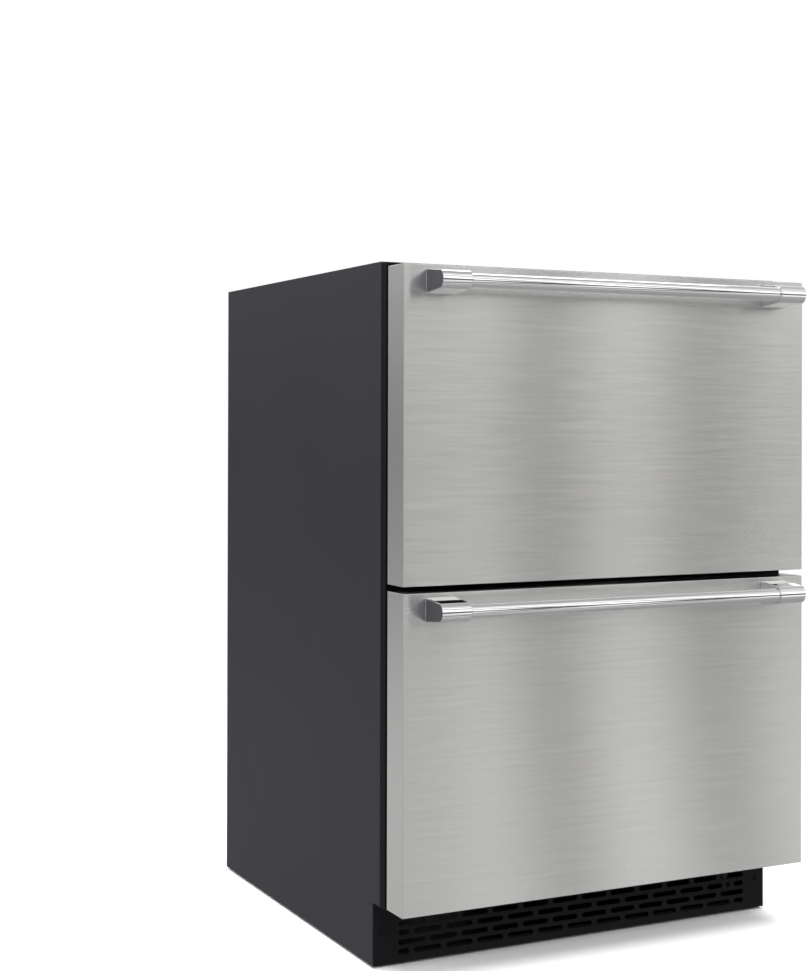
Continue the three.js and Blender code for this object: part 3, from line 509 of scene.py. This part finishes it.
def nose_outline(low, high):
    """The bracket's (y, z) outline: straight flanks that draw in, and a round nose at the front."""
    half = (high.z - low.z) / 2
    middle = (high.z + low.z) / 2
    nose = half * NOSE_SHARE
    centre_y = low.y + nose
    points = [(high.y, middle - half)]
    for step in range(NOSE_STEPS + 1):
        angle = -NOSE_HALF_TURN + 2 * NOSE_HALF_TURN * step / NOSE_STEPS
        points.append((centre_y - nose * math.cos(angle), middle + nose * math.sin(angle)))
    points.append((high.y, middle + half))
    return points


def bracket_prism(work, low, high, ends):
    prism(work, nose_outline(low, high), min(ends), max(ends), X_PRISM)


def handle_bracket(drawer, side):
    """A polished bracket with rounded ends, a dark end cap whose dark grey is a painted reflection of dark
    surroundings in the chrome end, and the ring where the bar goes in.
    """
    body = f"{drawer}_drawer"
    node = f"{drawer}_handle_bracket_{side}"
    low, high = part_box(node)
    inward = -1 if side == "right" else 1
    inner_x, end_x = (low.x, high.x) if side == "right" else (high.x, low.x)
    rounding = 1.1 * MM
    cap_proud, cap_inset, cap_thick = 0.25 * MM, 1.3 * MM, 1.5 * MM
    shoulder_x = end_x + inward * cap_proud

    def build_body(work):
        bracket_prism(work, low, high, (shoulder_x, inner_x))
        rims = [
            e
            for e in work.edges
            if abs(e.verts[0].co.x - e.verts[1].co.x) < rounding / 10
            and min(v.co.y for v in e.verts) < high.y - rounding
        ]
        bmesh.ops.bevel(work, geom=rims, offset=rounding, segments=4, profile=0.5, affect="EDGES")

    def build_cap(work):
        inset = Vector((0, cap_inset, cap_inset))
        bracket_prism(work, low + inset, high - inset, (end_x, end_x + inward * cap_thick))

    piece = new_piece(f"{drawer}_bracket_{side}", build_body, body, "handle_chrome")
    even_normals(piece)
    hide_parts(node)
    # The end cap's dark grey finish is a painted reflection of dark surroundings in the chrome end.
    new_piece(f"{drawer}_bracket_cap_{side}", build_cap, body, "handle_chrome", PAINTED_REFLECTION_CAP_METAL)
    bar_ring(drawer, side, inner_x, inward)


def bar_ring(drawer, side, inner_x, inward):
    """The turned ring where the bar goes into its bracket."""
    bar_low, bar_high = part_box(f"{drawer}_handle_bar")
    bar_centre = (bar_low + bar_high) / 2
    radius = (bar_high.z - bar_low.z) / 2 + 1.6 * MM
    reach, lap = 2.2 * MM, 0.5 * MM
    profile = [
        (0, 0),
        (0, radius),
        (reach * 0.6, radius),
        (reach * 0.85, radius - 0.3 * MM),
        (reach, radius - 0.9 * MM),
        (reach, 0),
    ]
    origin = (inner_x - inward * lap, bar_centre.y, bar_centre.z)
    new_piece(
        f"{drawer}_bar_ring_{side}",
        lambda work: turned(work, profile, origin, (inward, 0, 0), 72),
        f"{drawer}_drawer",
        "handle_chrome",
    )


# ---------- Screws ----------
def screw_head(work, centre, axis, radius, height):
    """A domed head with a small round dimple in its top, facing along axis."""
    direction = Vector(axis).normalized()
    profile = [(0, 0), (0, radius)]
    dome_steps = 5
    for step in range(1, dome_steps + 1):
        angle = math.pi / 2 * step / dome_steps
        rise = height * math.sin(angle)
        profile.append((rise, max(radius * math.cos(angle), radius * 0.34)))
    recess = height * 0.55
    profile.append((height - recess, radius * 0.2))
    profile.append((height - recess, 0))
    turned(work, profile, centre, direction, 20)


def kick_screws():
    for side in SIDES:
        node = f"kick_screw_{side}"
        low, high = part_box(node)
        radius = (high.x - low.x) / 2
        height = 2 * MM
        centre = ((low.x + high.x) / 2, low.y + height, (low.z + high.z) / 2)
        piece = new_piece(
            f"{node}_head",
            lambda work: screw_head(work, centre, (0, -1, 0), radius, height),
            "cabinet",
            "kick_paint",
        )
        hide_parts(node)


def rear_screws():
    """Pan-head screws down both sides of the rear sheets, and along the top."""
    low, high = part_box("rear_panel")
    cover_low, cover_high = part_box("compressor_cover")
    inset = 9 * MM
    radius, height = 3.4 * MM, 1.8 * MM
    heights = [cover_low.z + inset, (cover_low.z + cover_high.z) / 2, cover_high.z - inset]
    heights += [low.z + inset, (low.z + high.z) / 2, high.z - inset]
    spots = [(x, z) for x in (low.x + inset, high.x - inset) for z in heights]
    spots += [(x, high.z - inset) for x in (low.x / 3, high.x / 3)]

    def build(work):
        for x, z in spots:
            screw_head(work, (x, high.y, z), (0, 1, 0), radius, height)

    new_piece("rear_screws", build, "cabinet", "hardware")


# ---------- Swept frames ----------
def rounded_loop(low, high, radius, inset, steps=5):
    """(x, z) points round a rounded rectangle, drawn in by inset."""
    corner = max(radius - inset, 0.2 * MM)
    left, right = low.x + inset + corner, high.x - inset - corner
    bottom, top = low.z + inset + corner, high.z - inset - corner
    points = []
    for quarter, (x, z) in enumerate([(right, bottom), (right, top), (left, top), (left, bottom)]):
        for step in range(steps + 1):
            angle = math.pi / 2 * (quarter - 1 + step / steps)
            points.append((x + corner * math.cos(angle), z + corner * math.sin(angle)))
    return points


def swept_frame(work, low, high, radius, profile):
    """Carries a closed profile of (inset, y) points round a rounded rectangle."""
    loops = []
    for inset, y in profile:
        loops.append([work.verts.new((x, y, z)) for x, z in rounded_loop(low, high, radius, inset)])
    count = len(loops[0])
    for first, second in zip(loops, loops[1:] + loops[:1]):
        for index in range(count):
            after = (index + 1) % count
            work.faces.new([first[index], first[after], second[after], second[index]])


def gasket(drawer):
    """A bellows seal: folded flanks and two soft magnetic lobes that meet the front frame."""
    node = f"{drawer}_gasket"
    low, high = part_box(node)
    width = 16 * MM
    depth = high.y - low.y
    flank = [(0, 0), (0, 0.28), (1.3, 0.45), (0.2, 0.62), (0.2, 0.84), (1.1, 1)]
    lobes = [(6.4, 1), (7.2, 0.8), (8.8, 0.8), (9.6, 1)]
    profile = [(inset * MM, low.y + share * depth) for inset, share in flank + lobes]
    profile += [(width - inset * MM, low.y + share * depth) for inset, share in reversed(flank)]
    piece = new_piece(
        f"{drawer}_bellows_seal",
        lambda work: swept_frame(work, low, high, 6 * MM, profile),
        f"{drawer}_drawer",
        "gasket_rubber",
    )
    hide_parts(node)


def rear_emboss():
    """A pressed ridge that stiffens the rear panel."""
    low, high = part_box("rear_panel")
    inset = Vector((38 * MM, 0, 38 * MM))
    root, crest = high.y - 0.3 * MM, high.y + 1.6 * MM
    profile = [(0, root), (1 * MM, high.y + 0.4 * MM), (3 * MM, crest), (7 * MM, crest)]
    profile += [(9 * MM, high.y + 0.4 * MM), (10 * MM, root)]
    new_piece(
        "rear_panel_ridge",
        lambda work: swept_frame(work, low + inset, high - inset, 26 * MM, profile),
        "cabinet",
        "zinc",
    )


def foam_plugs():
    """Caps over the two holes through which the cabinet is filled with foam."""
    low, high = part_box("rear_panel")
    radius, height = 15 * MM, 2.2 * MM
    profile = [(0, 0), (0, radius), (height * 0.5, radius), (height, radius * 0.9)]
    profile += [(height, radius * 0.6), (height * 0.6, radius * 0.52), (height * 0.6, 0)]

    def build(work):
        for x in (low.x / 2, high.x / 2):
            turned(work, profile, (x, high.y, (low.z + 2 * high.z) / 3), (0, 1, 0), 40)

    new_piece("foam_hole_caps", build, "cabinet", "black_plastic")


def inlet_pins():
    """Three flat pins inside the mains inlet."""
    low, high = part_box("power_inlet")
    centre = (low + high) / 2
    spacing, rise = 7 * MM, 2.2 * MM
    half = Vector((1 * MM, 0, 2 * MM))
    rear, length = high.y - 3.5 * MM, 12 * MM

    def build(work):
        for step in (-1, 0, 1):
            z = centre.z + (rise if step == 0 else -rise)
            middle = Vector((centre.x + step * spacing, rear - length / 2, z))
            reach = half + Vector((0, length / 2, 0))
            rounded_box(work, middle - reach, middle + reach, 0.3 * MM, 2)

    new_piece("inlet_pins", build, "cabinet", "hardware")


# ---------- Feet ----------
def foot(end, side):
    """A levelling foot with a turned pad and a threaded stem."""
    node = f"foot_{end}_{side}"
    low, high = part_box(node)
    pad = (high.x - low.x) / 2
    crest, root = 5 * MM, 4.45 * MM
    collar, collar_radius = 9 * MM, 10 * MM
    stem_top = high.z - low.z
    thread_pitch = 1.5 * MM
    profile = [
        (0, 0),
        (0, pad - 2 * MM),
        (0.5 * MM, pad - 0.6 * MM),
        (2 * MM, pad),
        (4.2 * MM, pad),
        (5.4 * MM, pad - 0.9 * MM),
        (collar - 0.4 * MM, collar_radius + 1 * MM),
        (collar, collar_radius),
    ]
    along = collar
    while along < stem_top - 2 * thread_pitch:
        profile += [(along, root), (along + thread_pitch / 2, crest)]
        along += thread_pitch
    profile += [(stem_top, root), (stem_top, 0)]
    origin = ((low.x + high.x) / 2, (low.y + high.y) / 2, low.z)
    piece = new_piece(
        f"{end}_{side}_levelling_foot",
        lambda work: turned(work, profile, origin, (0, 0, 1), 36),
        f"{end}_{side}_leveller",
        "hardware",
    )
    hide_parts(node)


# ---------- Slides ----------
# Each race is (depth from the liner wall, height off the slide's middle, ball radius).
BALL_RACES = ((6.0 * MM, 18.55 * MM, 2.3 * MM), (6.0 * MM, 11.8 * MM, 1.95 * MM))


def slide_balls(drawer, side):
    """Ball rows and their cages, between the slide's channels."""
    low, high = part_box(f"{drawer}_slide_outer_{side}")
    wall_x, inward = (high.x, -1) if side == "right" else (low.x, 1)
    middle_z = (low.z + high.z) / 2
    first, pitch, count = low.y + 14 * MM, 20 * MM, 12
    cage_half, cage_share, cage_gap = 0.4 * MM, 0.8, 0.4

    def build(work):
        for depth, height, radius in BALL_RACES:
            x = wall_x + inward * depth
            for z in (middle_z - height, middle_z + height):
                for ball in range(count):
                    place = Matrix.Translation((x, first + ball * pitch, z))
                    bmesh.ops.create_uvsphere(
                        work, u_segments=12, v_segments=8, radius=radius, matrix=place
                    )
                reach = Vector((radius * cage_share, (count - cage_gap) * pitch / 2, cage_half))
                centre = Vector((x, first + (count - 1) * pitch / 2, z))
                rounded_box(work, centre - reach, centre + reach, cage_half / 2, 1)

    new_piece(f"{drawer}_slide_balls_{side}", build, f"{drawer}_slides", "hardware")


# ---------- Controls and lamp ----------
def control_marks():
    """A display window and plain round touch marks on the control panel's sloping face."""
    low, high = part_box("control_panel")
    lip, run = 6 * MM, 12 * MM
    upper = Vector((0, low.y, high.z - lip))
    lower = Vector((0, low.y + run, low.z))
    down = (lower - upper).normalized()
    outward = Vector((0, down.z, -down.y))
    middle = (upper + lower) / 2
    base, centre = middle.dot(outward), middle.dot(down)
    axes = ((1, 0, 0), down, outward)
    proud = 0.15 * MM
    radius, sides, spacing = 3.4 * MM, 28, 20 * MM
    spots = [step * spacing for step in (-4, -3, -2, 2, 3, 4)]

    def build(work):
        for spot in spots:
            ring = [
                (spot + radius * math.cos(turn), centre + radius * math.sin(turn))
                for turn in (2 * math.pi * step / sides for step in range(sides))
            ]
            prism(work, ring, base - proud, base + proud, axes)

    def build_window(work):
        half_x, half_b = 17 * MM, 5 * MM
        window = [(-half_x, -half_b), (half_x, -half_b), (half_x, half_b), (-half_x, half_b)]
        prism(work, [(a, centre + b) for a, b in window], base - proud, base + proud, axes)

    new_piece("touch_marks", build, "cabinet", "control_gloss", MARK_INK)
    new_piece("display_window", build_window, "cabinet", "control_gloss", DISPLAY)


def lamp_cover():
    """The frosted lamp cover under the control panel."""
    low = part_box("control_panel")[0]
    half_length, front, back = 70 * MM, 24 * MM, 80 * MM
    drop, sunk = 1.6 * MM, 1 * MM
    corner = Vector((-half_length, low.y + front, low.z - drop))
    opposite = Vector((half_length, low.y + back, low.z + sunk))
    piece = new_piece(
        "lamp_cover",
        lambda work: rounded_box(work, corner, opposite, 1.2 * MM),
        "cabinet",
        "liner_plastic",
        LENS,
    )
    even_normals(piece)


# ---------- Stage ----------
def camera():
    """The view from the front left, at about three quarters of the fridge's height."""
    data = bpy.data.cameras.new("camera")
    data.lens = 61.83
    data.shift_x = 0.004
    data.shift_y = -0.0696
    view = bpy.data.objects.new("camera", data)
    place = (-1.169, -2.040, 0.666)
    yaw, pitch, roll = 0.4565, 0.0038, 0.0025
    turn = (
        Matrix.Rotation(-yaw, 4, "Z")
        @ Matrix.Rotation(math.pi / 2 + pitch, 4, "X")
        @ Matrix.Rotation(roll, 4, "Z")
    )
    view.matrix_world = Matrix.Translation(place) @ turn
    bpy.context.scene.collection.objects.link(view)
    bpy.context.scene.camera = view


def floor():
    """A pale matt floor that fades into the white background. Reflections look through it at the studio."""
    bpy.ops.mesh.primitive_plane_add(size=60, location=(0, 0, 0))
    ground = bpy.context.object
    ground.name = "floor"
    shader = Shader("pale_floor", Roughness=1.0, Specular_IOR_Level=0.0)
    rays = shader.tree.nodes.new("ShaderNodeLightPath").outputs
    shader.set("Base Color", shader.mix_colour(rays["Is Camera Ray"], grey(0.2), grey(0.92)))
    distance = shader.tree.nodes.new("ShaderNodeVectorMath")
    distance.operation = "LENGTH"
    shader.link(shader.coords, distance.inputs[0])
    fade_span = (0.7, 2.4)
    fade = shader.ramp(distance.outputs["Value"], 0, 1, fade_span)
    only_seen = shader.tree.nodes.new("ShaderNodeMath")
    only_seen.operation = "MULTIPLY"
    shader.link(fade, only_seen.inputs[0])
    shader.link(rays["Is Camera Ray"], only_seen.inputs[1])
    white = shader.tree.nodes.new("ShaderNodeEmission").outputs["Emission"]
    clear = shader.tree.nodes.new("ShaderNodeBsdfTransparent").outputs["BSDF"]
    faded = shader.blend(only_seen.outputs["Value"], shader.bsdf.outputs["BSDF"], white)
    surface = shader.blend(rays["Is Glossy Ray"], faded, clear)
    shader.link(surface, shader.tree.nodes["Material Output"].inputs["Surface"])
    ground.data.materials.append(shader.material)


def area_light(name, location, target, size, power, in_reflections):
    data = bpy.data.lights.new(name, "AREA")
    data.shape = "RECTANGLE"
    data.size, data.size_y = size
    data.energy = power
    light = bpy.data.objects.new(name, data)
    aim = Vector(target) - Vector(location)
    light.location = location
    light.rotation_euler = aim.to_track_quat("-Z", "Y").to_euler()
    light.visible_camera = False
    light.visible_glossy = in_reflections
    bpy.context.scene.collection.objects.link(light)


def ramp_stops(node, stops):
    """Sets a colour ramp's stops from (position, grey level) pairs."""
    elements = node.color_ramp.elements
    while len(elements) > 1:
        elements.remove(elements[-1])
    for index, (position, level) in enumerate(stops):
        element = elements[0] if index == 0 else elements.new(position)
        element.position = position
        element.color = (level, level, level, 1)


def sideways_share(degrees):
    """Where a direction that many degrees to the right of straight ahead falls on the 0-1 ramp."""
    return 0.5 + math.sin(math.radians(degrees)) / 2


# Brightness of the walls, by a level direction's angle to the right of straight ahead. The narrow
# strips from 29 to 40 degrees make the upright bands of light on the drawer fronts.
WALL_LEVELS = (
    (-90, 0.75),
    (-45, 0.8),
    (-25, 0.85),
    (0, 0.9),
    (27.5, 0.95),
    (29.3, 1.55),
    (31.6, 0.35),
    (34.2, 1.75),
    (37.1, 0.42),
    (39.9, 1.6),
    (43, 0.9),
    (60, 0.8),
    (90, 0.7),
)
# Brightness by height, from straight down at 0 to straight up at 1.
ROW_LEVELS = (
    (0, 0.42),
    (0.30, 0.48),
    (0.42, 0.85),
    (0.45, 0.12),
    (0.55, 0.12),
    (0.575, 1.15),
    (0.7, 1.05),
    (0.85, 0.95),
    (0.91, 0.55),
    (1, 0.6),
)
# At 0 the strips would be arcs and at -0.5 they would be upright lines on the studio's walls.
STRIP_LEAN = -0.35


def calculate(tree, operation, first, second):
    """A maths node on two numbers or outputs."""
    node = tree.nodes.new("ShaderNodeMath")
    node.operation = operation
    for socket, value in zip(node.inputs, (first, second)):
        if isinstance(value, (int, float)):
            socket.default_value = value
        else:
            tree.links.new(value, socket)
    return node.outputs["Value"]


def graded(tree, component, levels):
    """Brightness by one component of a direction, which runs from -1 to 1."""
    share = tree.nodes.new("ShaderNodeMapRange")
    share.inputs["From Min"].default_value = -1
    tree.links.new(component, share.inputs["Value"])
    ramp = tree.nodes.new("ShaderNodeValToRGB")
    ramp.color_ramp.interpolation = "EASE"
    ramp_stops(ramp, levels)
    tree.links.new(share.outputs["Result"], ramp.inputs["Fac"])
    return ramp.outputs["Color"]


def studio_brightness(tree):
    """The walls' strips, multiplied by the rows from floor to ceiling."""
    split = tree.nodes.new("ShaderNodeSeparateXYZ")
    tree.links.new(tree.nodes.new("ShaderNodeTexCoord").outputs["Generated"], split.inputs["Vector"])
    upward = calculate(tree, "MULTIPLY", split.outputs["Z"], split.outputs["Z"])
    level_part = calculate(tree, "SUBTRACT", 1, upward)
    lean = calculate(tree, "POWER", level_part, STRIP_LEAN)
    sideways = calculate(tree, "MULTIPLY", split.outputs["X"], lean)
    wall_stops = [(sideways_share(angle), level) for angle, level in WALL_LEVELS]
    product = tree.nodes.new("ShaderNodeMix")
    product.data_type = "RGBA"
    product.blend_type = "MULTIPLY"
    product.inputs["Factor"].default_value = 1
    tree.links.new(graded(tree, sideways, wall_stops), product.inputs["A"])
    tree.links.new(graded(tree, split.outputs["Z"], ROW_LEVELS), product.inputs["B"])
    return product.outputs["Result"]


def studio():
    """A soft studio that lights the fridge and shows in its reflections. The camera sees plain white."""
    world = bpy.data.worlds.new("studio")
    world.use_nodes = True
    bpy.context.scene.world = world
    tree = world.node_tree
    background = tree.nodes["Background"]
    seen = tree.nodes.new("ShaderNodeMix")
    seen.data_type = "RGBA"
    seen.inputs["B"].default_value = (1, 1, 1, 1)
    rays = tree.nodes.new("ShaderNodeLightPath").outputs
    tree.links.new(rays["Is Camera Ray"], seen.inputs["Factor"])
    tree.links.new(studio_brightness(tree), seen.inputs["A"])
    tree.links.new(seen.outputs["Result"], background.inputs["Color"])
    background.inputs["Strength"].default_value = 1.0


def lights():
    """Soft lights above, in front of and left of the fridge. Only the rear strip shows in reflections."""
    area_light("overhead", (0, -0.3, 3.2), (0, 0, 0), (3.2, 3.2), 150, False)
    area_light("front_fill", (-1.0, -3.0, 2.8), (0, -0.3, 0.5), (1.4, 0.8), 55, False)
    area_light("left_fill", (-2.8, 0.2, 1.6), (0, 0, 0.45), (1.6, 1.8), 16, False)
    area_light("rear_strip", (0.2, 0.35, 2.8), (0.2, -0.3, 0.83), (3.0, 0.4), 14, True)


# ---------- Assembly ----------
camera()
finish_nodes()
for drawer in DRAWERS:
    front_skin(drawer)
    handle_bar(drawer)
    gasket(drawer)
    for side in SIDES:
        handle_bracket(drawer, side)
        slide_balls(drawer, side)
for end in ("front", "rear"):
    for side in SIDES:
        foot(end, side)
top_panel_lip()
kick_screws()
rear_screws()
rear_emboss()
foam_plugs()
inlet_pins()
control_marks()
lamp_cover()
floor()
studio()
lights()
bpy.context.scene.view_settings.view_transform = "Standard"
